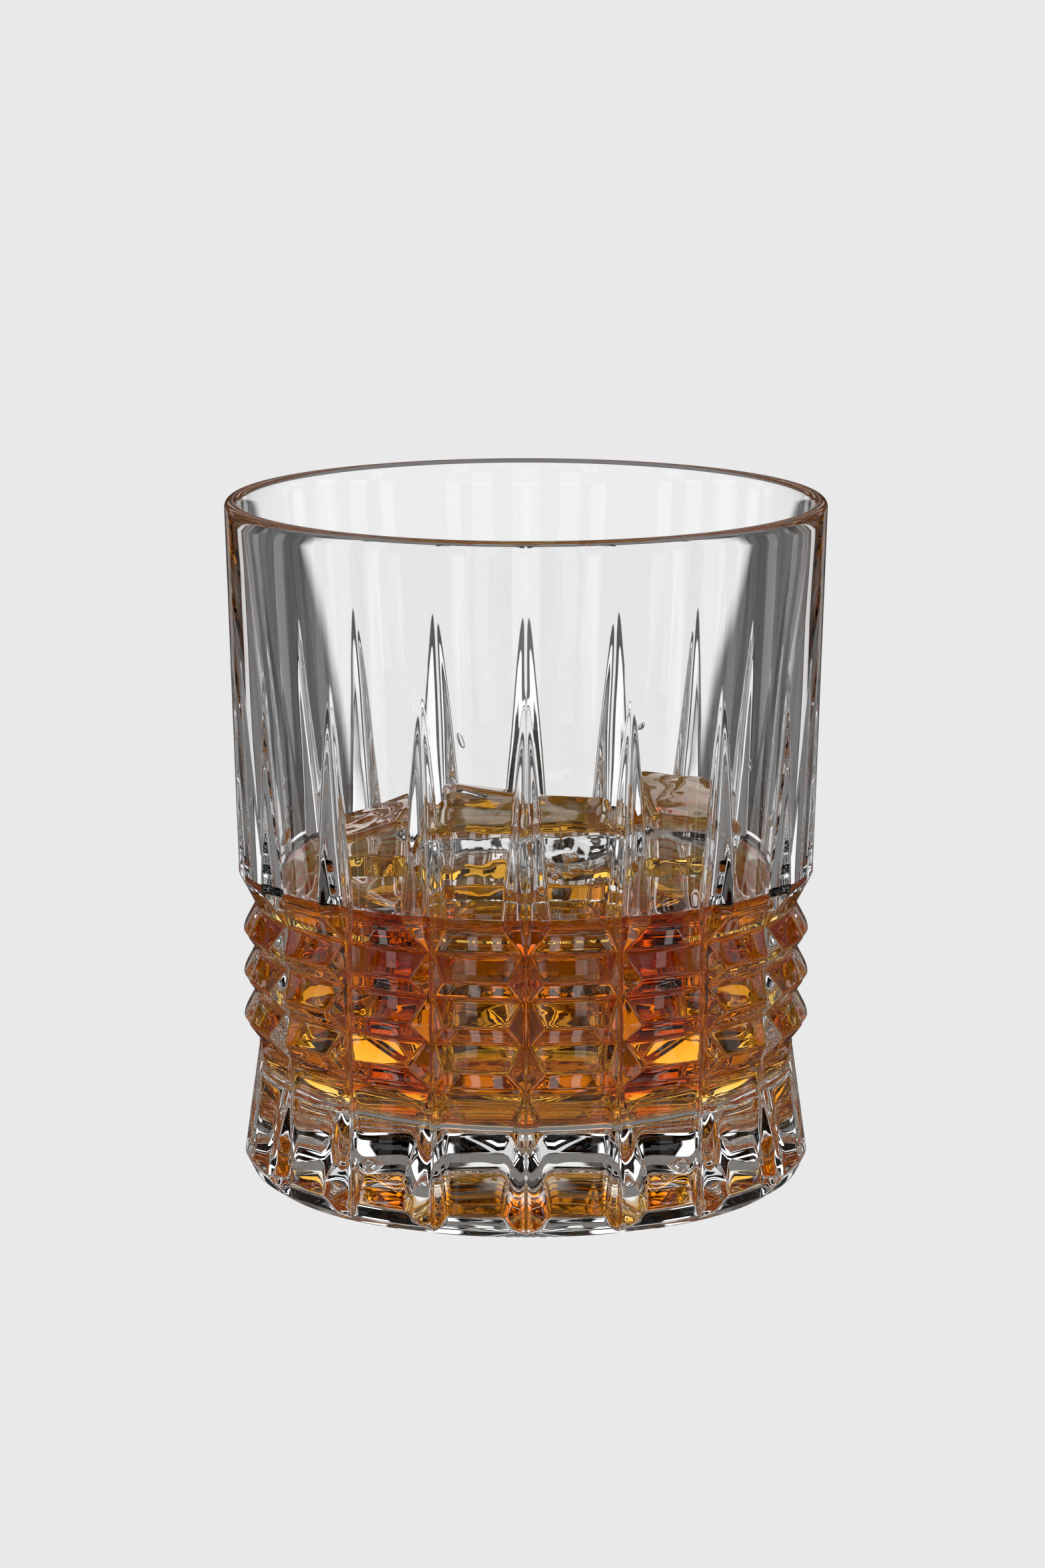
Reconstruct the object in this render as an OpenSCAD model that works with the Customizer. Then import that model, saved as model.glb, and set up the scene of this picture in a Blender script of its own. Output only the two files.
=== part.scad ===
// Pressed-glass whiskey tumbler with whiskey and blocks of ice.
// The origin is at the centre of the foot, +Z up, millimetres.

/* [Tumbler] */
// Height from the table to the top of the rim
height = 100; // [95:0.5:106]
// Outer radius at the rim
rim_r = 43.5; // [42.5:0.1:45]
// Outer radius of the upper body just above the stud band
shoulder_r = 41.8; // [41.4:0.1:42.4]
// Height of the edge where the upper body turns in to the stud band
shoulder_z = 45.6; // [44:0.1:47]
// Number of facets round the glass
facets = 18; // [12:1:24]

/* [Foot] */
// Radius of the ring that stands on the table
stand_r = 37.6; // [36:0.1:39]
// Largest radius of the foot
foot_r = 41.2; // [40.4:0.1:41.6]
// Height of the foot's largest radius
foot_z = 3.8; // [3:0.1:6]
// Radius of the waist between the foot and the stud band
waist_r = 39; // [38.6:0.1:39.6]
// Radius of the domed hollow under the foot
recess_r = 32; // [20:0.5:34]
// Height of the dome at its middle
recess_depth = 5; // [1:0.1:6]

/* [Stud band] */
// Rows of studs
rows = 3; // [1:1:3]
// Height of the lowest horizontal valley
band_z = 21.8; // [20:0.1:24]
// Height of one row of studs
row_pitch = 6.42; // [5:0.01:6.6]
// Radius of the ridge along each stud
stud_r = 41.2; // [40.4:0.1:41.5]
// Radius of the bottoms of the horizontal valleys
valley_r = 39.2; // [39:0.1:40]
// Height of each stud's ridge above the valley under it
ridge_height = 2.6; // [1:0.1:4]

/* [Vertical grooves] */
// Radius of the bottoms of the vertical grooves at the top of the band
groove_r = 38.9; // [38.5:0.1:39.1]
// How much deeper the grooves lie at the foot than at the top of the band
groove_draft = 0.2; // [0:0.05:0.3]
// Half angle of the needle grooves in the upper body
needle_angle = 55; // [45:1:60]
// Half angle of the grooves through the studs
band_angle = 46; // [35:1:55]
// Half angle of the grooves through the foot
foot_angle = 53; // [40:1:58]
// Height where a needle groove runs out at its point
needle_top_z = 84; // [78:0.5:90]

/* [Cavity] */
// Height of the floor inside
floor_z = 13.6; // [12.6:0.1:17]
// Inner radius where the wall meets the corner of the floor
floor_r = 34.4; // [33:0.1:35]
// Radius of the corner between floor and wall
corner_r = 5.5; // [4:0.5:8]
// Thickness of the rounded rim
rim_t = 2; // [1.6:0.1:2.4]

/* [Whiskey] */
// Height of the whiskey above the table
whiskey_z = 46; // [40:0.5:50]
// Gap between the whiskey and the glass
film_gap = 0.05; // [0.02:0.01:0.1]

/* [Ice] */
// Room round each block of ice
ice_gap = 0.3; // [0.2:0.05:0.4]
// Rounding of the edges of the ice
ice_round = 2.4; // [1:0.1:3]
// Height of the undersides of the upper blocks
upper_z = 33.2; // [32.5:0.1:34]

/* [Hidden] */
$fn = 96;

pitch_angle = 360 / facets;
reach = 12;
over = 1;
lap = 0.2;
rim_mid_r = rim_r - rim_t / 2;

// The cone of the inner wall, as radius against height
wall_low_z = floor_z + corner_r;
wall_high_z = height - rim_t / 2;
inner_rim_r = rim_r - rim_t;
wall_slope = (inner_rim_r - floor_r) / (wall_high_z - wall_low_z);
function inner_r(z) = floor_r + wall_slope * (z - wall_low_z);

// Height of horizontal valley number row, from 0 at the lowest
function valley_z(row) = band_z + row * row_pitch;

// Middle of the plain waist between the foot and the lowest valley
waist_z = band_z - 1.5;
waist_half = 0.7;

// The node where the needle grooves run into the grooves of the band
node_z = valley_z(rows);
needle_top_r = shoulder_r + (rim_r - shoulder_r) * (needle_top_z - shoulder_z) / (height - shoulder_z);
needle_slope = (needle_top_r - groove_r) / (needle_top_z - node_z);

// Each block of ice is [x, y, turn, width, depth, underside, top, drop of the top towards its left, front]
front_block = [-0.4, -13.2, 0, 26.4, 18, upper_z, 57.2, 0.4, 0.8];
left_block = [-23, 2.5, -8, 14.6, 20, upper_z - 1, 55, 4.5, 0.5];
right_block = [23, 3.6, 9, 14.6, 21, upper_z, 57.5, -1.5, 3];
back_block = [-0.6, 8.4, 5, 24.2, 20, upper_z, 58.6, -4, -4];
lower_front = [0, -13.4, 0, 22, 14, floor_z + ice_gap, upper_z - ice_gap, 0, 0];
lower_left = [-21.8, 2.5, -8, 11.4, 15, floor_z + 1.2, upper_z - 1 - ice_gap, 0, 0];
lower_right = [21.8, 3.6, 9, 11.4, 16, floor_z + 1.2, upper_z - ice_gap, 0, 0];
lower_back = [-0.6, 8.4, 5, 20, 15.6, floor_z + ice_gap, upper_z - ice_gap, 0, 0];
upper_blocks = [front_block, left_block, right_block, back_block];
lower_blocks = [lower_front, lower_left, lower_right, lower_back];

// Points of an arc, centre first, from one angle to another
function arc(centre, r, from, to, steps) = [
    for (i = [0:steps])
        let (a = from + (to - from) * i / steps)
            [centre[0] + r * cos(a), centre[1] + r * sin(a)]
];

// One row of studs in section: its valley and its ridge
function stud_profile(z) = [[valley_r, z], [stud_r, z + ridge_height]];

// The dome under the foot is part of a sphere through its middle and its edge
dome_r = (recess_r * recess_r + recess_depth * recess_depth) / (2 * recess_depth);
dome_edge_angle = acos(recess_r / dome_r);

// The glass in section before the vertical grooves are cut: up the outside, over the rim, down the inside
glass_profile = concat(
    arc([0, recess_depth - dome_r], dome_r, 90, dome_edge_angle, 12),
    [[stand_r, 0]],
    [[stand_r + (foot_r - stand_r) * 0.64, foot_z * 0.4], [foot_r, foot_z]],
    [[waist_r, waist_z - waist_half], [waist_r, waist_z + waist_half]],
    [for (row = [0:rows - 1]) each stud_profile(valley_z(row))],
    [[valley_r, node_z], [shoulder_r, shoulder_z]],
    arc([rim_mid_r, wall_high_z], rim_t / 2, 0, 180, 12),
    arc([floor_r - corner_r, wall_low_z], corner_r, 0, -90, 8),
    [[0, floor_z]]
);

// A V groove on the front of the glass between two points given as [radius, height]
module v_groove(low, high, half_angle) {
    rise = high[1] - low[1];
    run = high[0] - low[0];
    half_w = reach * tan(half_angle);
    translate([0, -low[0], low[1]])
        rotate([atan2(run, rise), 0, 0])
            linear_extrude(norm([rise, run]))
                polygon([[0, 0], [half_w, -reach], [-half_w, -reach]]);
}

// The three stretches of one vertical groove, from the foot to the needle's point
module vertical_groove() {
    foot_groove_r = groove_r - groove_draft;
    v_groove([foot_groove_r, -over], [foot_groove_r, waist_z + lap], foot_angle);
    v_groove([foot_groove_r, waist_z], [groove_r, node_z + lap], band_angle);
    v_groove(
        [groove_r, node_z],
        [groove_r + needle_slope * (height - node_z), height],
        needle_angle
    );
}

module tumbler() {
    color([0.9, 0.93, 0.95, 0.35])
        difference() {
            rotate_extrude() polygon(glass_profile);
            for (i = [0:facets - 1])
                rotate([0, 0, i * pitch_angle]) vertical_groove();
        }
}

// A rounded rectangle with the width and depth of a block, grown by a margin
module block_outline(w, d, margin) {
    r = ice_round + margin;
    x = w / 2 + margin - r;
    y = d / 2 + margin - r;
    union() {
        square([2 * x, 2 * (y + r)], center = true);
        square([2 * (x + r), 2 * y], center = true);
        for (sx = [-1, 1], sy = [-1, 1])
            translate([sx * x, sy * y]) circle(r, $fn = 32);
    }
}

// One block of ice: rounded in plan, in both elevations, and with a sloping top
module ice_block(block) {
    w = block[3];
    d = block[4];
    h = block[6] - block[5];
    fall_x = atan2(block[7], w);
    fall_y = atan2(block[8], d);
    color([0.88, 0.92, 0.95, 0.6])
        translate([block[0], block[1], block[5]])
            rotate([0, 0, block[2]])
                difference() {
                    intersection() {
                        linear_extrude(h) block_outline(w, d, 0);
                        translate([0, d / 2, h / 2])
                            rotate([90, 0, 0]) linear_extrude(d) block_outline(w, h, 0);
                        translate([-w / 2, 0, h / 2])
                            rotate([90, 0, 90]) linear_extrude(w) block_outline(d, h, 0);
                    }
                    translate([w / 2 * sign(block[7]), d / 2 * sign(block[8]), h])
                        rotate([fall_y, -fall_x, 0])
                            translate([-2 * w, -2 * d, 0]) cube([4 * w, 4 * d, h]);
                }
}

// The straight way up through the whiskey that a block of ice lifts along
module ice_pocket(block) {
    translate([block[0], block[1], block[5] - ice_gap])
        rotate([0, 0, block[2]])
            linear_extrude(height) block_outline(block[3], block[4], ice_gap);
}

// The hollow in section up to the whiskey's surface, drawn in by the film gap
whiskey_profile = concat(
    [[0, floor_z + film_gap]],
    arc([floor_r - corner_r, wall_low_z], corner_r - film_gap, -90, 0, 8),
    [[inner_r(whiskey_z) - film_gap, whiskey_z], [0, whiskey_z]]
);

module whiskey() {
    color([0.85, 0.48, 0.08, 0.75])
        difference() {
            rotate_extrude() polygon(whiskey_profile);
            for (block = upper_blocks) ice_pocket(block);
            for (block = lower_blocks) ice_pocket(block);
        }
}

module ice_front() { ice_block(front_block); }
module ice_left() { ice_block(left_block); }
module ice_right() { ice_block(right_block); }
module ice_back() { ice_block(back_block); }
module ice_lower_front() { ice_block(lower_front); }
module ice_lower_left() { ice_block(lower_left); }
module ice_lower_right() { ice_block(lower_right); }
module ice_lower_back() { ice_block(lower_back); }

tumbler();
whiskey();
ice_front();
ice_left();
ice_right();
ice_back();
ice_lower_front();
ice_lower_left();
ice_lower_right();
ice_lower_back();
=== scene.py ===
"""A pressed-glass whiskey tumbler with whiskey and ice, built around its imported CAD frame."""

import math
import random

import bpy
import numpy as np
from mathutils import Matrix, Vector, noise


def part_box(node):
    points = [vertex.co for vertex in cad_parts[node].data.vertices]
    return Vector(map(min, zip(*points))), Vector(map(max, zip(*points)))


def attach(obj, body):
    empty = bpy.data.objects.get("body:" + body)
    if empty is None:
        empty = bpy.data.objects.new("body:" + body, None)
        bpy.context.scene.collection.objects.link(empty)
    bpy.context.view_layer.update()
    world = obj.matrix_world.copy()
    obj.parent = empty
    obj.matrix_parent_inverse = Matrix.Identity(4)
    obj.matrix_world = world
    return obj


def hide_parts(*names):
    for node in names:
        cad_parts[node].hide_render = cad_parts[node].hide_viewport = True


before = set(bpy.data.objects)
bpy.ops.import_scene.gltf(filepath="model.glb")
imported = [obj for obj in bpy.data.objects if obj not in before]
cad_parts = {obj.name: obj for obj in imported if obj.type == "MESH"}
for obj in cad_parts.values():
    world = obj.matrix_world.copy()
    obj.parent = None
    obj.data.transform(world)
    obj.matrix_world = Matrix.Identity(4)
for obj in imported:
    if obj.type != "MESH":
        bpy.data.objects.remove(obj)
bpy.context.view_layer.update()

# ---------------------------------------------------------------- sizes, in millimetres unless stated

MM = 0.001

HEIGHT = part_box("tumbler")[1].z / MM
RIM_R = 43.5

# The glass in section, as in the CAD model
STAND_R, FOOT_R, FOOT_Z = 37.6, 41.2, 3.8
WAIST_R, WAIST_Z, WAIST_HALF = 39.0, 20.3, 0.7
RECESS_R, RECESS_DEPTH = 32.0, 5.0
ROWS, BAND_Z, ROW_PITCH = 3, 21.8, 6.42
STUD_R, VALLEY_R, RIDGE_HEIGHT = 41.2, 39.2, 2.6
SHOULDER_R, SHOULDER_Z = 41.8, 45.6
RIM_T = 2.0
FLOOR_Z, FLOOR_R, CORNER_R = 13.6, 34.4, 5.5
NODE_Z = BAND_Z + ROWS * ROW_PITCH
WALL_TOP_Z = HEIGHT - RIM_T / 2

# The vertical grooves, with their half angles in degrees
FACETS = 18
GROOVE_R, GROOVE_DRAFT = 38.9, 0.2
NEEDLE_TOP_Z = 84.0
NEEDLE_ANGLE, BAND_ANGLE, FOOT_ANGLE = 55.0, 46.0, 53.0

# The whiskey reaches a little into the glass, so that light passes straight from one to the other.
# Its surface lies below the top of its CAD solid, which leaves room for the meniscus.
WET = 0.08
WHISKEY_Z = 45.0
MENISCUS_RISE, MENISCUS_REACH = 0.9, 1.5

# ---------------------------------------------------------------- the camera

# Where the eye is, in metres
EYE_BACK, EYE_HIGH, EYE_RIGHT = 0.862, 0.2221, -0.0005
PITCH_DOWN = math.radians(10.78)
LENS, SENSOR = 138.5, 36


def make_camera():
    """The camera at the viewing angle of the photograph, a long lens a little above the rim."""
    camera = bpy.data.objects.new("camera", bpy.data.cameras.new("camera"))
    bpy.context.scene.collection.objects.link(camera)
    camera.location = (EYE_RIGHT, -EYE_BACK, EYE_HIGH)
    camera.rotation_euler = (math.pi / 2 - PITCH_DOWN, 0, 0)
    camera.data.lens = LENS
    camera.data.sensor_width = SENSOR
    camera.data.clip_start = 0.01
    bpy.context.scene.camera = camera


make_camera()

# ---------------------------------------------------------------- mesh helpers


def mesh_object(name, points, faces, smooth=True):
    """A new mesh object from points in millimetres."""
    mesh = bpy.data.meshes.new(name)
    mesh.from_pydata([tuple(c * MM for c in p) for p in points], [], faces)
    mesh.validate()
    mesh.update()
    mesh.shade_smooth() if smooth else mesh.shade_flat()
    piece = bpy.data.objects.new(name, mesh)
    bpy.context.scene.collection.objects.link(piece)
    return piece


def arc(centre, radius, start, end, steps):
    """Points of an arc in section, in degrees."""
    return [
        (centre[0] + radius * math.cos(math.radians(a)), centre[1] + radius * math.sin(math.radians(a)))
        for a in np.linspace(start, end, steps + 1)
    ]


def resample(points, spacing):
    """Points along a section at about an even spacing, with all its corners kept."""
    out = [points[0]]
    for a, b in zip(points[:-1], points[1:]):
        steps = max(1, math.ceil(math.dist(a, b) / spacing))
        out += [tuple(np.array(a) + (np.array(b) - np.array(a)) * i / steps) for i in range(1, steps + 1)]
    return out


def soften(points, width, step=0.1):
    """A section with its corners rounded: a fine copy, averaged over a width along its length."""
    fine = np.array(resample(points, step))
    along = np.concatenate([[0], np.cumsum(np.linalg.norm(np.diff(fine, axis=0), axis=1))])
    even = np.linspace(0, along[-1], int(along[-1] / step))
    line = np.stack([np.interp(even, along, fine[:, k]) for k in (0, 1)], axis=1)
    half = int(round(2.5 * width / step))
    weights = np.exp(-0.5 * (np.arange(-half, half + 1) * step / width) ** 2)
    weights /= weights.sum()
    padded = np.concatenate([
        2 * line[0] - line[half:0:-1], line, 2 * line[-1] - line[-2:-half - 2:-1]
    ])
    return np.stack([np.convolve(padded[:, k], weights, mode="valid") for k in (0, 1)], axis=1)


def thin_out(line, spacing):
    """The points of a fine section that lie the spacing for their height on from the last one kept."""
    kept, since = [line[0]], 0.0
    for a, b in zip(line[:-1], line[1:]):
        since += math.dist(a, b)
        if since >= spacing(b[1]):
            kept.append(b)
            since = 0.0
    kept[-1] = line[-1]
    return np.array(kept)


def smooth_min(a, b, k):
    """The lower of two values, blended where they are less than k apart."""
    h = np.clip(0.5 + 0.5 * (b - a) / k, 0, 1)
    return b * (1 - h) + a * h - k * h * (1 - h)


def ramp(x, low, high):
    """0 below low, 1 above high, and smooth between them."""
    t = np.clip((x - low) / (high - low), 0, 1)
    return t * t * (3 - 2 * t)


def waves(points, size, amount, seed):
    """Slow unevenness, one value for each point in millimetres."""
    shift = Vector((seed * 17.3, seed * 5.1, seed * 9.7))
    return np.array([noise.noise(Vector(p) / size + shift) for p in points]) * amount


def polar_rows(section, turns):
    """A grid of (radius, height, angle) from a section, one row for each of its points."""
    turns = np.broadcast_to(turns, (len(section), np.shape(turns)[-1]))
    r = np.repeat(section[:, 0:1], turns.shape[1], axis=1)
    z = np.repeat(section[:, 1:2], turns.shape[1], axis=1)
    return r, z, turns


def on_axis(r, z, turn):
    """Points in millimetres; angle 0 is the groove that faces the camera, along -Y."""
    return np.stack([r * np.sin(turn), -r * np.cos(turn), z], axis=-1)


def rings_to_mesh(name, rings, caps):
    """A closed mesh from rings of points; caps are the two points that close its ends."""
    count = len(rings[0])
    points = [p for ring in rings for p in ring] + list(caps)
    faces = []
    for i in range(len(rings) - 1):
        a, b = i * count, (i + 1) * count
        faces += [(a + j, a + (j + 1) % count, b + (j + 1) % count, b + j) for j in range(count)]
    first, last = len(points) - 2, len(points) - 1
    top = (len(rings) - 1) * count
    faces += [(first, (j + 1) % count, j) for j in range(count)]
    faces += [(last, top + j, top + (j + 1) % count) for j in range(count)]
    return mesh_object(name, points, faces)


def box_grid(n):
    """Points and faces of a cube from -1 to 1 with n squares along each edge."""
    index, points, faces = {}, [], []

    def at(p):
        key = tuple(round(c * n) for c in p)
        if key not in index:
            index[key] = len(points)
            points.append(tuple(p))
        return index[key]

    for axis in range(3):
        for sign in (-1, 1):
            u, v = (axis + 1) % 3, (axis + 2) % 3
            for i in range(n):
                for j in range(n):
                    corners = []
                    for di, dj in ((0, 0), (1, 0), (1, 1), (0, 1)):
                        p = [0.0, 0.0, 0.0]
                        p[axis] = sign
                        p[u] = -1 + 2 * (i + di) / n
                        p[v] = -1 + 2 * (j + dj) / n
                        corners.append(at(p))
                    faces.append(corners if sign > 0 else corners[::-1])
    return np.array(points), faces


def beads(spots, steps=8):
    """Points and faces of small closed ellipsoids, each given by its centre and its half sizes."""
    sphere, faces = box_grid(steps)
    sphere = sphere / np.linalg.norm(sphere, axis=1, keepdims=True)
    points = [np.array(centre) + sphere * half for centre, half in spots]
    all_faces = [[i + len(sphere) * k for i in face] for k in range(len(spots)) for face in faces]
    return np.concatenate(points), all_faces


# ---------------------------------------------------------------- the tumbler

# Radius of the smallest ring of a mesh round the axis
POLE_R = 0.6

# Width over which the edges are rounded, outside and under the foot
EDGE_WIDTH, UNDER_EDGE_WIDTH = 0.17, 0.5

# Spacing of the outside's rows over the foot and the studs, over the plain body, and near the rim, and the
# heights where it changes; then the spacing under the foot
BAND_SPACING, BODY_SPACING, RIM_SPACING = 0.34, 1.2, 0.8
BODY_FROM_Z, RIM_FROM_Z = 47.5, 95
UNDER_SPACING = 0.9

# Unevenness of the hot-pressed glass outside and inside: size of its waves, amount and seed
OUTER_WAVES, INNER_WAVES = (12.0, 0.02, 1), (18.0, 0.03, 2)

# Heights between which the unevenness inside fades out towards the rim
EVEN_LOW, EVEN_HIGH = 93, 97


def row_spacing(z):
    return BAND_SPACING if z < BODY_FROM_Z else BODY_SPACING if z < RIM_FROM_Z else RIM_SPACING


def outer_section():
    """The outside of the glass from the standing ring to the rim's outer edge."""
    points = [(STAND_R, 0), (STAND_R + (FOOT_R - STAND_R) * 0.64, FOOT_Z * 0.4), (FOOT_R, FOOT_Z)]
    points += [(WAIST_R, WAIST_Z - WAIST_HALF), (WAIST_R, WAIST_Z + WAIST_HALF)]
    for row in range(ROWS):
        z = BAND_Z + row * ROW_PITCH
        points += [(VALLEY_R, z), (STUD_R, z + RIDGE_HEIGHT)]
    points += [(VALLEY_R, NODE_Z), (SHOULDER_R, SHOULDER_Z), (RIM_R, WALL_TOP_Z)]
    line = soften(points, EDGE_WIDTH)
    line[0], line[-1] = points[0], points[-1]
    return thin_out(line, row_spacing)


def wall_line(z):
    """Inner radius of the glass at a height above the corner of the floor."""
    low = FLOOR_Z + CORNER_R
    slope = (RIM_R - RIM_T - FLOOR_R) / (WALL_TOP_Z - low)
    return FLOOR_R + slope * (z - low)


def inner_section(grow=0.0, top=WALL_TOP_Z):
    """The hollow from the middle of its floor up the wall, moved out into the glass by grow."""
    middle = (FLOOR_R - CORNER_R, FLOOR_Z + CORNER_R)
    floor = [(r, FLOOR_Z - grow) for r in np.linspace(POLE_R, middle[0], 12)]
    corner = arc(middle, CORNER_R + grow, -90, 0, 14)[1:]
    heights = np.linspace(middle[1], top, int((top - middle[1]) / 1.6))[1:]
    wall = [(wall_line(z) + grow, z) for z in heights]
    return np.array(floor + corner + wall)


# Columns of the mesh as shares of the way from the middle of a groove to its edge, and of the way from
# there to the middle of the facet
IN_GROOVE = (0, 0.12, 0.28, 0.46, 0.64, 0.8, 0.91, 1)
ON_FACET = (0.035, 0.08, 0.15, 0.28, 0.47, 0.72, 1)

# The nearest and farthest that a column follows a groove's edge from its middle
EDGE_NEAR, EDGE_FAR = math.radians(0.6), math.radians(7)

# Height above the node where a needle has its final finish
FINISH_RISE = 14

# How far the polish rounds the bottoms of the grooves, in the band and in the needles
BAND_POLISH, NEEDLE_POLISH = 0.004, 0.020

# Rounding of the grooves' edges against height: soft over the foot, crisp from the waist up
ROUNDING_Z = [FOOT_Z, FOOT_Z + 2, WAIST_Z - 2, WAIST_Z, NODE_Z, NODE_Z + FINISH_RISE]
ROUNDING = [0.3, 1.1, 1.1, 0.3, 0.22, 0.2]

# Where a groove's flank would lie more than 1 / LEAST_OPEN times as far out as its bottom, nothing is cut
LEAST_OPEN, OUT_OF_REACH = 0.2, 400

# How far the tops of the studs go from round to flat
FLATNESS = 0.3


def wall_at_needle_top():
    share = (NEEDLE_TOP_Z - SHOULDER_Z) / (HEIGHT - SHOULDER_Z)
    return SHOULDER_R + (RIM_R - SHOULDER_R) * share


def groove_bottom(z):
    """Radius of the bottom of a vertical groove at a height."""
    node_slope = (wall_at_needle_top() - GROOVE_R) / (NEEDLE_TOP_Z - NODE_Z)
    bottom = np.interp(z, [WAIST_Z, NODE_Z], [GROOVE_R - GROOVE_DRAFT, GROOVE_R])
    return bottom + np.maximum(z - NODE_Z, 0) * node_slope


def groove_flank(z):
    """Half angle of a vertical groove at a height, in radians."""
    return np.radians(np.interp(
        z, [WAIST_Z - 1, WAIST_Z + 1, NODE_Z - 1, NODE_Z + 2],
        [FOOT_ANGLE, BAND_ANGLE, BAND_ANGLE, NEEDLE_ANGLE],
    ))


def groove_columns(radius, z):
    """Angles of a row's columns, with one along each edge of the groove wherever the edge lies."""
    flank = groove_flank(z)
    edge = np.arccos(np.clip(groove_bottom(z) / radius * np.sin(flank), 0, 1)) - (math.pi / 2 - flank)
    edge = np.clip(edge, EDGE_NEAR, EDGE_FAR)
    half = math.pi / FACETS
    near = [edge * k for k in IN_GROOVE] + [edge + (half - edge) * k for k in ON_FACET]
    row = near + [2 * half - a for a in near[-2:0:-1]]
    return np.concatenate([[2 * half * i + a for a in row] for i in range(FACETS)])


def groove_cut(radius, z, turn):
    """The glass's radius once the vertical grooves are cut, on a grid of heights and angles in radians."""
    pitch = 2 * math.pi / FACETS
    away = (turn + pitch / 2) % pitch - pitch / 2
    polish = np.interp(z, [NODE_Z, NODE_Z + FINISH_RISE], [BAND_POLISH, NEEDLE_POLISH])
    side = np.sqrt(np.sin(away) ** 2 + polish ** 2)
    open_to = np.cos(away) - side / np.tan(groove_flank(z))
    cut = np.where(open_to > LEAST_OPEN, groove_bottom(z) / np.maximum(open_to, LEAST_OPEN), OUT_OF_REACH)
    return smooth_min(radius, cut, np.interp(z, ROUNDING_Z, ROUNDING))


def flat_studs(radius, z, turn):
    """The tops of the studs are flatter than a round glass, so they stand prouder towards their sides."""
    pitch = 2 * math.pi / FACETS
    from_middle = turn % pitch - pitch / 2
    flat = ramp(z, BAND_Z - 1, BAND_Z + 1) * (1 - ramp(z, SHOULDER_Z - 2, SHOULDER_Z + 4))
    return radius * (1 + FLATNESS * flat * (1 / np.cos(from_middle) - 1))


def underside(turns):
    """Rings from the middle of the dome under the foot to just inside the standing ring."""
    bend = (RECESS_R ** 2 + RECESS_DEPTH ** 2) / (2 * RECESS_DEPTH)
    dome = [
        (x, RECESS_DEPTH - bend + math.sqrt(bend ** 2 - x * x))
        for x in np.linspace(POLE_R, RECESS_R, 30)
    ]
    section = thin_out(soften(dome + [(STAND_R, 0)], UNDER_EDGE_WIDTH), lambda z: UNDER_SPACING)
    return on_axis(*polar_rows(section[:-1], turns))


def outside(turns):
    """Rings up the outside. Their columns follow the grooves' edges, and run straight up near the rim."""
    section = outer_section()
    by_row = np.array([groove_columns(r, z) for r, z in section])
    even = ramp(section[:, 1:2], NEEDLE_TOP_Z + 2, HEIGHT - 2)
    r, z, turn = polar_rows(section, by_row * (1 - even) + turns * even)
    r = groove_cut(flat_studs(r, z, turn), z, turn)
    uneven = waves(on_axis(r, z, turn).reshape(-1, 3), *OUTER_WAVES).reshape(r.shape)
    keep = ramp(z, 0.5, 3) * (1 - ramp(z, HEIGHT - 5, HEIGHT - 2))
    return on_axis(r + uneven * keep, z, turn)


def lip(turns):
    """Rings over the rounded rim, between its outer and inner edges."""
    section = arc((RIM_R - RIM_T / 2, WALL_TOP_Z), RIM_T / 2, 0, 180, 12)[1:-1]
    return on_axis(*polar_rows(np.array(section), turns))


def inside(turns):
    """Rings down the inside; only the wall clear of the whiskey and the rim is uneven."""
    r, z, turn = polar_rows(inner_section()[::-1], turns)
    uneven = waves(on_axis(r, z, turn).reshape(-1, 3), *INNER_WAVES).reshape(r.shape)
    keep = ramp(z, WHISKEY_Z + 4, WHISKEY_Z + 10)
    return on_axis(r + uneven * keep * (1 - ramp(z, EVEN_LOW, EVEN_HIGH)), z, turn)


def make_tumbler():
    turns = groove_columns(RIM_R, HEIGHT)
    rings = [*underside(turns), *outside(turns), *lip(turns), *inside(turns)]
    return rings_to_mesh("tumbler_glass", rings, [(0, 0, RECESS_DEPTH), (0, 0, FLOOR_Z)])


# ---------------------------------------------------------------- the whiskey

WHISKEY_COLUMNS = 144


def make_whiskey():
    """The whiskey before the ice is taken out of it, with a meniscus where it meets the wall."""
    turns = np.linspace(0, 2 * math.pi, WHISKEY_COLUMNS, endpoint=False)
    side = inner_section(grow=WET, top=WHISKEY_Z + MENISCUS_RISE)
    edge = side[-1][0] - WET
    radii = edge - np.concatenate([np.linspace(0.0, 4.0, 12), np.linspace(6, edge - 0.8, 18)])
    surface = [(r, WHISKEY_Z + MENISCUS_RISE * math.exp(-(edge - r) / MENISCUS_REACH)) for r in radii]
    section = np.array([*side, *surface])
    rings = on_axis(*polar_rows(section, turns))
    return rings_to_mesh("whiskey_liquid", [*rings], [(0, 0, FLOOR_Z - WET), (0, 0, WHISKEY_Z)])


# ---------------------------------------------------------------- the ice

ICE_ROUND = 2.4
ICE_GRID = 36

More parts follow.
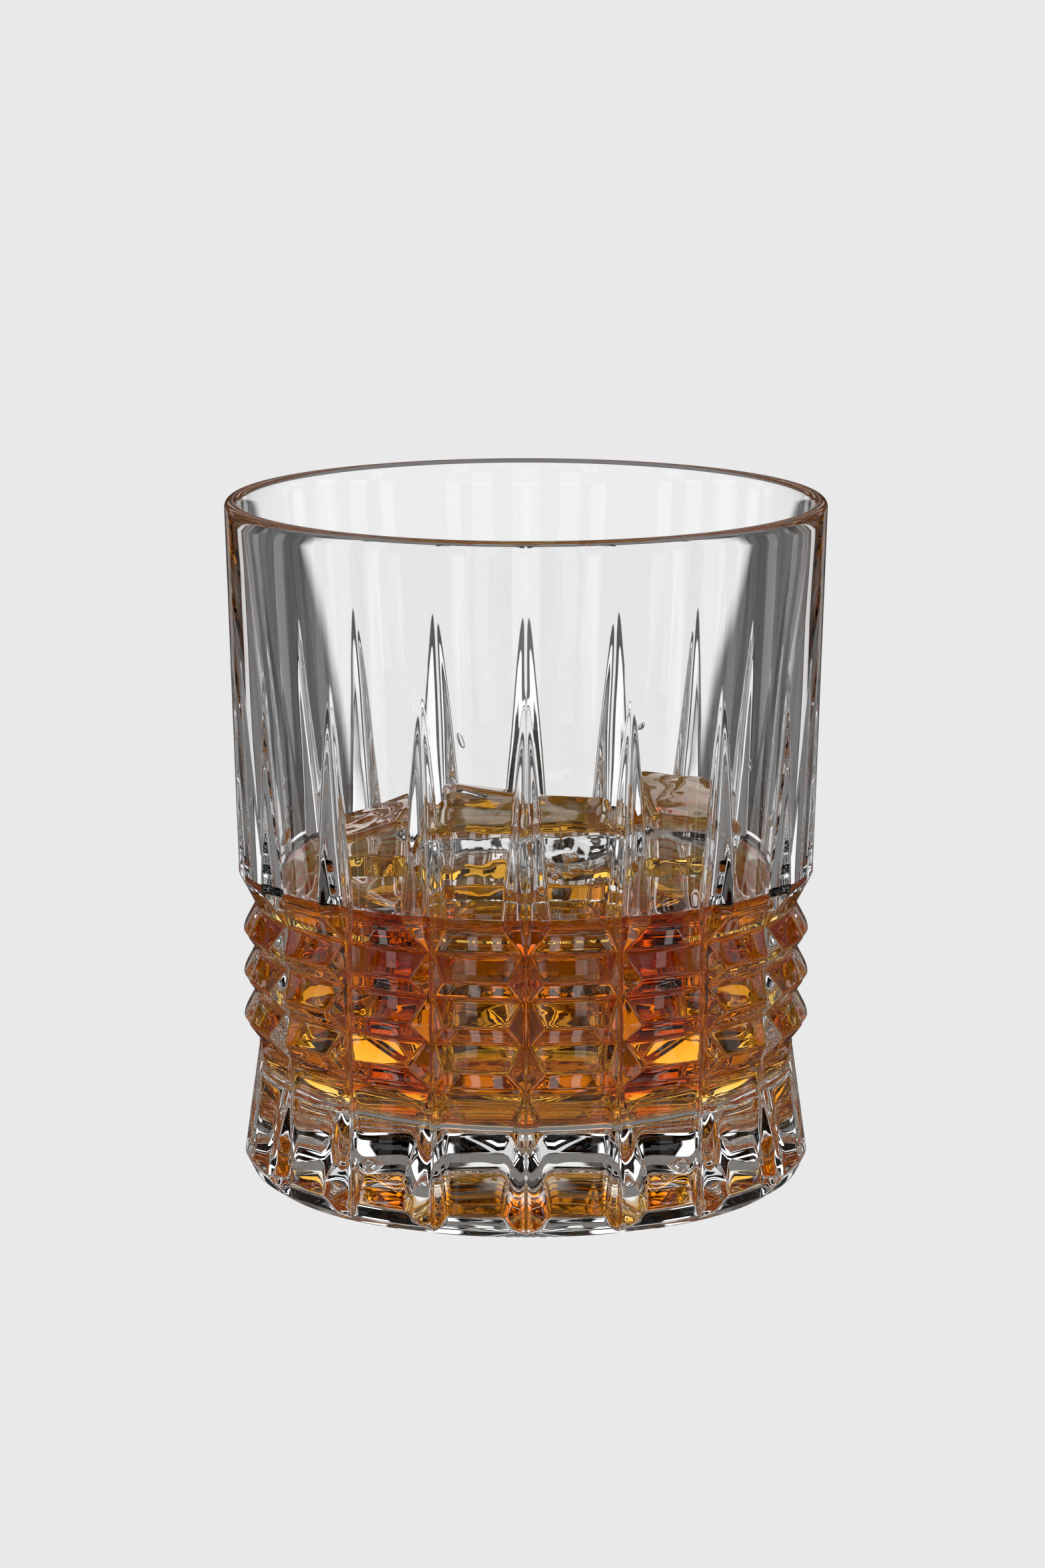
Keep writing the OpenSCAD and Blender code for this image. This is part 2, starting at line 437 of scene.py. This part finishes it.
# Turn in degrees, how far the top falls towards +X and towards the front, and how much narrower the
# bottom is across and from front to back, all in millimetres
ICE = {
    "ice_front": {"turn": 0, "fall": (-0.4, 0.8), "taper": (1.5, 5.5), "seed": 3},
    "ice_left": {"turn": -8, "fall": (-4.5, 0.5), "taper": (2.0, 4.0), "seed": 5},
    "ice_right": {"turn": 9, "fall": (1.5, 3.0), "taper": (2.0, 4.5), "seed": 8},
    "ice_back": {"turn": 5, "fall": (4.0, -4.0), "taper": (2.0, 5.0), "seed": 12},
    "ice_lower_front": {"turn": 0, "fall": (0, 0), "taper": (1.0, 1.0), "seed": 14},
    "ice_lower_left": {"turn": -8, "fall": (0, 0), "taper": (1.0, 1.0), "seed": 15},
    "ice_lower_right": {"turn": 9, "fall": (0, 0), "taper": (1.0, 1.0), "seed": 16},
    "ice_lower_back": {"turn": 5, "fall": (0, 0), "taper": (1.0, 1.0), "seed": 17},
}

# How the ice has melted: size and amount of its broad and fine waves and of the flutes up its sides, and
# how much is gone all over
BROAD_MELT, FINE_MELT, FLUTES = (9.0, 0.5), (3.5, 0.12), (3.0, 0.45)
MELTED = 0.35

# The flutes are much longer than they are wide, and fade out on faces that look up or down
FLUTE_STRETCH = (1, 1, 0.12)
SIDE_LIMIT = 0.7

# Where the bubbles sit in the front block: the middle of the cluster and how far it spreads
BUBBLE_MIDDLE, BUBBLE_SPREAD = (4.8, -14.5, 49.2), (2.8, 2.2, 1.6)
BUBBLE_COUNT, BUBBLE_GAP = 16, 0.15
BUBBLE_SMALL, BUBBLE_LARGE = 0.3, 0.85

# The column of small bubbles over the cluster
COLUMN_COUNT, COLUMN_Z, COLUMN_PITCH = 4, 52.2, 0.8
COLUMN_BUBBLE = (0.16, 0.16, 0.34)


def block_size(node, turn):
    """Centre and half size of a turned block of ice, from the box of its CAD node."""
    low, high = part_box(node)
    centre = np.array((low + high) / 2) / MM
    wide, deep, tall = np.array(high - low) / MM
    c, s = abs(math.cos(turn)), abs(math.sin(turn))
    trim = ICE_ROUND * 2 * (c + s - 1)
    wide, deep = wide + trim, deep + trim
    w = (wide * c - deep * s) / (c * c - s * s)
    d = (deep * c - wide * s) / (c * c - s * s)
    return centre, np.array([w, d, tall]) / 2


def bubble_spots(seed=7):
    """Air trapped in the ice: a loose cluster of bubbles, and a column of small ones over it."""
    pick = random.Random(seed)
    spots = []
    while len(spots) < BUBBLE_COUNT:
        centre = [m + pick.uniform(-1, 1) * w for m, w in zip(BUBBLE_MIDDLE, BUBBLE_SPREAD)]
        size = pick.uniform(BUBBLE_SMALL, BUBBLE_LARGE)
        if all(math.dist(centre, other) > size + half[0] + BUBBLE_GAP for other, half in spots):
            spots.append((centre, (size, size * pick.uniform(0.6, 1), size * pick.uniform(0.8, 1.2))))
    column = [
        (BUBBLE_MIDDLE[0] + pick.uniform(-0.3, 0.3), BUBBLE_MIDDLE[1], COLUMN_Z + COLUMN_PITCH * k)
        for k in range(COLUMN_COUNT)
    ]
    return spots + [(centre, COLUMN_BUBBLE) for centre in column]


def make_ice(node):
    """One part-melted block: rounded, narrower below, with a sloping top and uneven faces."""
    shape = ICE[node]
    turn = math.radians(shape["turn"])
    centre, half = block_size(node, turn)
    p, faces = box_grid(ICE_GRID)
    p = p * half
    inner = half - ICE_ROUND
    core = np.clip(p, -inner, inner)
    out = (p - core) / np.linalg.norm(p - core, axis=1, keepdims=True)
    p = core + out * ICE_ROUND
    x, y, z = (p / half).T
    fall_x, fall_y = shape["fall"]
    drop = abs(fall_x) * (1 + np.sign(fall_x) * x) / 2 + abs(fall_y) * (1 - np.sign(fall_y) * y) / 2
    low = (1 - z) / 2
    p[:, 2] -= ramp(z, 0, 1) * drop
    p[:, 0] *= 1 - low * shape["taper"][0] / (2 * half[0])
    p[:, 1] *= 1 - low * shape["taper"][1] / (2 * half[1])
    seed = shape["seed"]
    melt = waves(p, *BROAD_MELT, seed) + waves(p, *FINE_MELT, seed + 40) - MELTED
    melt += waves(p * FLUTE_STRETCH, *FLUTES, seed + 80) * (np.abs(out[:, 2]) < SIDE_LIMIT)
    p = p + out * melt[:, None]
    c, s = math.cos(turn), math.sin(turn)
    p = p @ np.array([[c, s, 0], [-s, c, 0], [0, 0, 1]]) + centre
    if node == "ice_front":
        air, air_faces = beads(bubble_spots())
        faces = faces + [[len(p) + i for i in face[::-1]] for face in air_faces]
        p = np.concatenate([p, air])
    return mesh_object(node + "_block", p, faces)


def make_pocket(ice):
    """A hidden copy of a block, a little smaller, that keeps the whiskey out of the ice wherever it is."""
    pocket = ice.copy()
    pocket.data = ice.data.copy()
    pocket.name = ice.name.replace("_block", "_pocket")
    normals = [v.normal.copy() for v in pocket.data.vertices]
    for v, n in zip(pocket.data.vertices, normals):
        v.co -= n * WET * MM
    bpy.context.scene.collection.objects.link(pocket)
    pocket.parent = ice
    pocket.hide_render = True
    pocket.hide_viewport = True
    return pocket


# ---------------------------------------------------------------- drops on the inner wall

# Angle round the wall from the front in degrees, height, width, length and lean in millimetres
DROPS = [
    (-74, 57.5, 0.5, 0.9, 0.2), (-70, 55.2, 0.35, 0.4, 0.0), (-59, 54.6, 0.45, 1.7, 0.9),
    (-66, 60.8, 0.3, 0.35, 0.0), (44, 57.8, 0.55, 1.0, -0.6), (47, 56.0, 0.35, 0.5, -0.2),
    (61, 57.0, 0.6, 1.3, 0.5), (64, 54.4, 0.3, 0.4, 0.0), (76, 59.6, 0.4, 0.6, 0.1),
    (73, 62.5, 0.3, 0.3, 0.0), (112, 56.5, 0.45, 0.9, 0.3), (151, 58.4, 0.4, 0.6, -0.2),
    (196, 55.6, 0.5, 1.2, 0.4), (233, 59.0, 0.35, 0.5, 0.0), (262, 56.2, 0.5, 1.0, -0.4),
]
DROP_THICKNESS = 0.45


def make_drops():
    """Drops of melt water that cling to the glass above the whiskey, flat where they touch it."""
    points, faces = beads([((0, 0, 0), (1, 1, 1)) for _ in DROPS])
    count = len(points) // len(DROPS)
    placed = []
    for k, (angle, z, width, length, lean) in enumerate(DROPS):
        along, up, out = points[k * count:(k + 1) * count].T
        radius = wall_line(z + up * length) - np.maximum(out * DROP_THICKNESS, -WET)
        turn = math.radians(angle) + (along * width + up * lean) / radius
        placed.append(on_axis(radius, z + up * length, turn))
    return mesh_object("melt_drops", np.concatenate(placed), faces)


# ---------------------------------------------------------------- materials

GLASS_IOR, WHISKEY_IOR, ICE_IOR, WATER_IOR = 1.52, 1.36, 1.31, 1.33

# What the whiskey lets through, and how strongly it absorbs the rest, for each metre
WHISKEY_COLOUR, WHISKEY_DENSITY = (0.955, 0.74, 0.01), 155

# Scale of the unevenness too fine for the mesh, and its depth in metres
ICE_BUMP, WATER_BUMP = (260, 0.00006), (400, 0.00002)


def clear_material(name, ior):
    """A clear, smooth material, and its shader."""
    material = bpy.data.materials.new(name)
    material.use_nodes = True
    shader = material.node_tree.nodes["Principled BSDF"]
    shader.inputs["Base Color"].default_value = (1, 1, 1, 1)
    shader.inputs["Transmission Weight"].default_value = 1
    shader.inputs["Roughness"].default_value = 0
    shader.inputs["IOR"].default_value = ior
    return material, shader


def absorb(material, colour, density):
    """Colour that deepens with the length of the light's way through the piece."""
    nodes, links = material.node_tree.nodes, material.node_tree.links
    volume = nodes.new("ShaderNodeVolumeAbsorption")
    volume.inputs["Color"].default_value = (*colour, 1)
    volume.inputs["Density"].default_value = density
    links.new(volume.outputs["Volume"], nodes["Material Output"].inputs["Volume"])


def bump(material, shader, scale, distance):
    """Fine unevenness of the surface, fixed to the piece."""
    nodes, links = material.node_tree.nodes, material.node_tree.links
    where = nodes.new("ShaderNodeTexCoord")
    rough = nodes.new("ShaderNodeTexNoise")
    rough.inputs["Scale"].default_value = scale
    rough.inputs["Detail"].default_value = 2
    node = nodes.new("ShaderNodeBump")
    node.inputs["Distance"].default_value = distance
    node.inputs["Strength"].default_value = 1
    links.new(where.outputs["Object"], rough.inputs["Vector"])
    links.new(rough.outputs["Fac"], node.inputs["Height"])
    links.new(node.outputs["Normal"], shader.inputs["Normal"])


def glass_material():
    return clear_material("pressed_glass", GLASS_IOR)[0]


def whiskey_material():
    material = clear_material("whiskey", WHISKEY_IOR)[0]
    absorb(material, WHISKEY_COLOUR, WHISKEY_DENSITY)
    return material


def ice_material():
    material, shader = clear_material("ice", ICE_IOR)
    bump(material, shader, *ICE_BUMP)
    return material


def water_material():
    material, shader = clear_material("melt_water", WATER_IOR)
    bump(material, shader, *WATER_BUMP)
    return material


# ---------------------------------------------------------------- the stage

# Brightness of the floor and of the backdrop that the camera sees
PALE = 0.8148

# How far the floor reaches, and how far it lies below the glass
FLOOR_REACH, FLOOR_DROP = 9000, 0.4

# Soft panels round the glass that only rays from the glass see, mirrored about each of the X and Y axes:
# azimuth away from the nearest axis, elevation, and brightness, with angles in degrees
PANELS = [
    (-5, 6, -24, -3, 1.14),
    (6, 14, -24, -3, 0.1),
    (14, 22, -13, -3, 1.4),
    (23, 29, -24, -13, 1.4),
    (30, 50, -24, -3, 0.25),
    (27, 33, -4, 6, 1.6),
    (9, 14, 6, 46, 2.4),
    (21, 26, 6, 34, 2.5),
    (26, 31, 36, 52, 2.2),
    (30, 40, 52, 76, 1.6),
    (42, 48, 20, 40, 1.6),
    (-5, 2, -3, 34, 0.9),
]
SOFT_ACROSS, SOFT_ALONG = 0.5, 1

# The glow of the table, seen below this elevation
TABLE_GLOW, TABLE_ANGLE, TABLE_SOFT = 0.25, -26, 4

# The share of every mirror reflection of the panels that a polarising filter takes out
POLARISER = 0.7


def make_floor():
    """A pale floor that the camera sees, and that rays in the glass pass through."""
    corners = [(-1, -1), (1, -1), (1, 1), (-1, 1)]
    points = [(x * FLOOR_REACH, y * FLOOR_REACH, -FLOOR_DROP) for x, y in corners]
    floor = mesh_object("floor", points, [(0, 1, 2, 3)], smooth=False)
    material = bpy.data.materials.new("pale_floor")
    material.use_nodes = True
    nodes, links = material.node_tree.nodes, material.node_tree.links
    nodes.clear()
    glow = nodes.new("ShaderNodeEmission")
    glow.inputs["Color"].default_value = (PALE, PALE, PALE, 1)
    out = nodes.new("ShaderNodeOutputMaterial")
    links.new(glow.outputs[0], out.inputs["Surface"])
    floor.data.materials.append(material)
    floor.visible_transmission = False
    floor.visible_glossy = False
    floor.visible_diffuse = False


def maths(tree, operation, *values):
    """A Math node's output; each value is a number or another node's output."""
    node = tree.nodes.new("ShaderNodeMath")
    node.operation = operation
    for socket, value in zip(node.inputs, values):
        if isinstance(value, (int, float)):
            socket.default_value = value
        else:
            tree.links.new(value, socket)
    return node.outputs[0]


def edge_fade(tree, value, edge, soft, rising=True):
    """0 before an edge and 1 after it, or the other way round, fading over twice soft."""
    node = tree.nodes.new("ShaderNodeMapRange")
    node.interpolation_type = "SMOOTHSTEP"
    node.inputs["From Min"].default_value = edge - soft
    node.inputs["From Max"].default_value = edge + soft
    node.inputs["To Min"].default_value = 0 if rising else 1
    node.inputs["To Max"].default_value = 1 if rising else 0
    tree.links.new(value, node.inputs["Value"])
    return node.outputs[0]


def between(tree, value, low, high, soft):
    """1 between two edges and 0 outside them."""
    after = edge_fade(tree, value, low, soft)
    return maths(tree, "MULTIPLY", after, edge_fade(tree, value, high, soft, rising=False))


def sky_angles(tree):
    """The elevation of a direction and its azimuth away from the nearest axis, in degrees."""
    where = tree.nodes.new("ShaderNodeTexCoord")
    split = tree.nodes.new("ShaderNodeSeparateXYZ")
    tree.links.new(where.outputs["Generated"], split.inputs[0])
    x, y, z = split.outputs
    level = maths(tree, "ADD", maths(tree, "MULTIPLY", x, x), maths(tree, "MULTIPLY", y, y))
    degrees = 180 / math.pi
    elevation = maths(tree, "MULTIPLY", maths(tree, "ARCTAN2", z, maths(tree, "SQRT", level)), degrees)
    turn = maths(tree, "MULTIPLY", maths(tree, "ARCTAN2", x, y), degrees)
    azimuth = maths(tree, "PINGPONG", maths(tree, "ADD", turn, 360), 45)
    return elevation, azimuth


def studio_light(tree):
    """How bright the table and the panels are in each direction."""
    elevation, azimuth = sky_angles(tree)
    below = edge_fade(tree, elevation, TABLE_ANGLE, TABLE_SOFT, rising=False)
    total = maths(tree, "MULTIPLY", below, TABLE_GLOW)
    for left, right, low, high, bright in PANELS:
        across = between(tree, azimuth, left, right, SOFT_ACROSS)
        along = between(tree, elevation, low, high, SOFT_ALONG)
        panel = maths(tree, "MULTIPLY", maths(tree, "MULTIPLY", across, along), bright)
        total = maths(tree, "ADD", total, panel)
    return total


def make_world():
    """A plain backdrop for the camera, and the studio light for every other ray."""
    world = bpy.data.worlds.new("studio")
    bpy.context.scene.world = world
    world.use_nodes = True
    tree = world.node_tree
    tree.nodes.clear()

    rays = tree.nodes.new("ShaderNodeLightPath")
    mirrored = maths(tree, "SUBTRACT", 1.0, rays.outputs["Is Transmission Ray"])
    dimming = maths(tree, "SUBTRACT", 1.0, maths(tree, "MULTIPLY", mirrored, POLARISER))
    light = tree.nodes.new("ShaderNodeBackground")
    tree.links.new(maths(tree, "MULTIPLY", studio_light(tree), dimming), light.inputs["Strength"])
    plain = tree.nodes.new("ShaderNodeBackground")
    plain.inputs["Color"].default_value = (PALE, PALE, PALE, 1)
    pick = tree.nodes.new("ShaderNodeMixShader")
    out = tree.nodes.new("ShaderNodeOutputWorld")
    tree.links.new(rays.outputs["Is Camera Ray"], pick.inputs[0])
    tree.links.new(light.outputs[0], pick.inputs[1])
    tree.links.new(plain.outputs[0], pick.inputs[2])
    tree.links.new(pick.outputs[0], out.inputs["Surface"])


# ---------------------------------------------------------------- putting it together

glass = make_tumbler()
glass.data.materials.append(glass_material())
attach(glass, "glass")
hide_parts("tumbler")

whiskey = make_whiskey()
whiskey.data.materials.append(whiskey_material())

ice_look = ice_material()
pockets = bpy.data.collections.new("pockets")
for node in ICE:
    block = make_ice(node)
    block.data.materials.append(ice_look)
    pocket = make_pocket(block)
    pockets.objects.link(pocket)
    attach(block, node)
    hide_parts(node)

cut = whiskey.modifiers.new("ice_pockets", "BOOLEAN")
cut.operation = "DIFFERENCE"
cut.operand_type = "COLLECTION"
cut.collection = pockets
cut.solver = "MANIFOLD"
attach(whiskey, "glass")
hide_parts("whiskey")

drops = make_drops()
drops.data.materials.append(water_material())
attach(drops, "glass")

make_floor()
make_world()

# Light passes through many surfaces of glass, whiskey and ice on its way
scene = bpy.context.scene
scene.view_settings.view_transform = "Standard"
scene.cycles.max_bounces = 32
scene.cycles.transmission_bounces = 32
scene.cycles.glossy_bounces = 24
scene.cycles.volume_bounces = 2
scene.cycles.use_denoising = True
